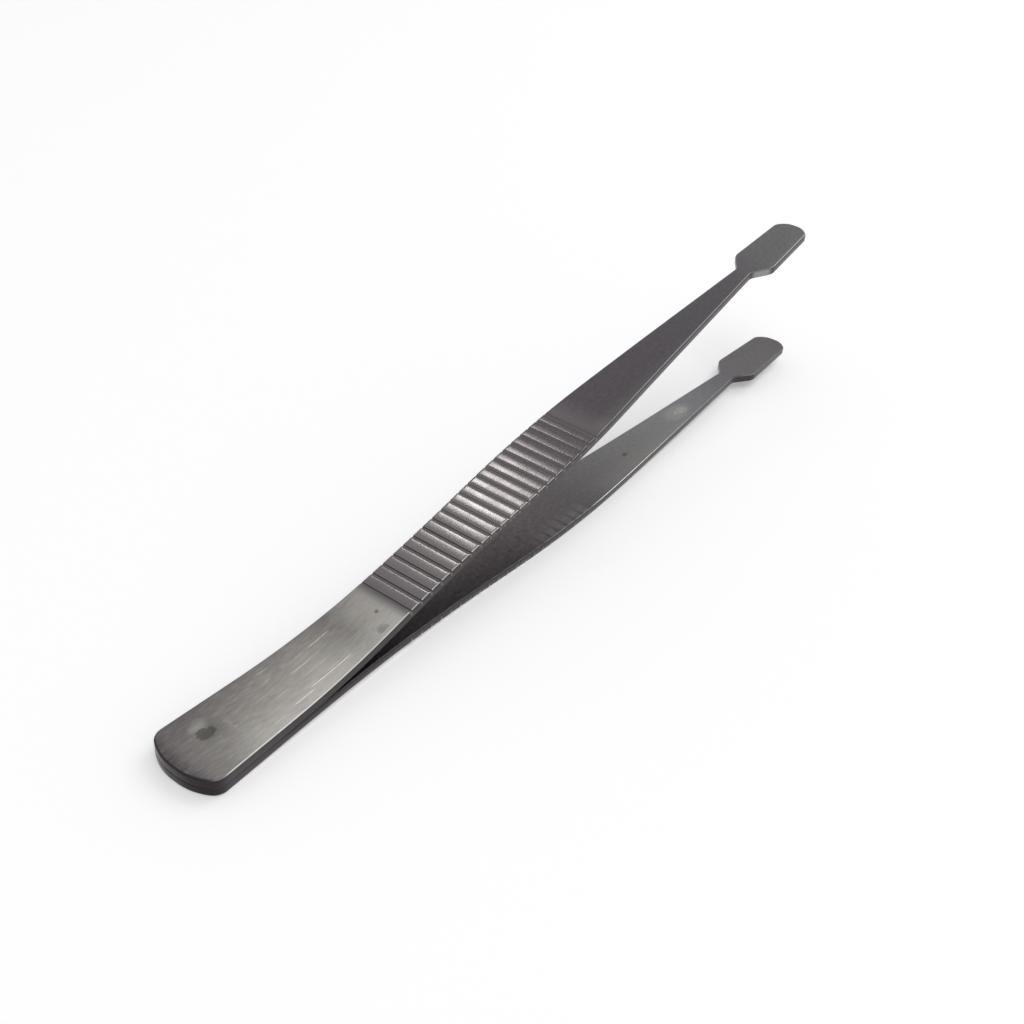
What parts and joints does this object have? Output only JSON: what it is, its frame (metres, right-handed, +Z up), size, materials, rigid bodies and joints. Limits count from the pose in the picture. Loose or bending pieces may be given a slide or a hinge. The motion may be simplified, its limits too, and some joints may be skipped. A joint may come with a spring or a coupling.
{
  "type": "thumb forceps",
  "caption": "Spring tweezers of sheet steel blades spot welded at the heel, with grooved finger grips and flat rounded spade tips.",
  "frame": {"origin": "on the surface that the forceps lie on, below the centre of their bounding box", "axes": "+X from the welded heel to the tips, +Y across the blades, +Z up, the way the blades open"},
  "size_m": [0.115, 0.0086, 0.0214],
  "materials": {
    "steel": "brushed lengthwise, satin, darker on the rolled edges and lightly scratched at the heel"
  },
  "bodies": {
    "root": {"upper_blade": "steel", "lower_blade": "steel"}
  },
  "joints": []
}
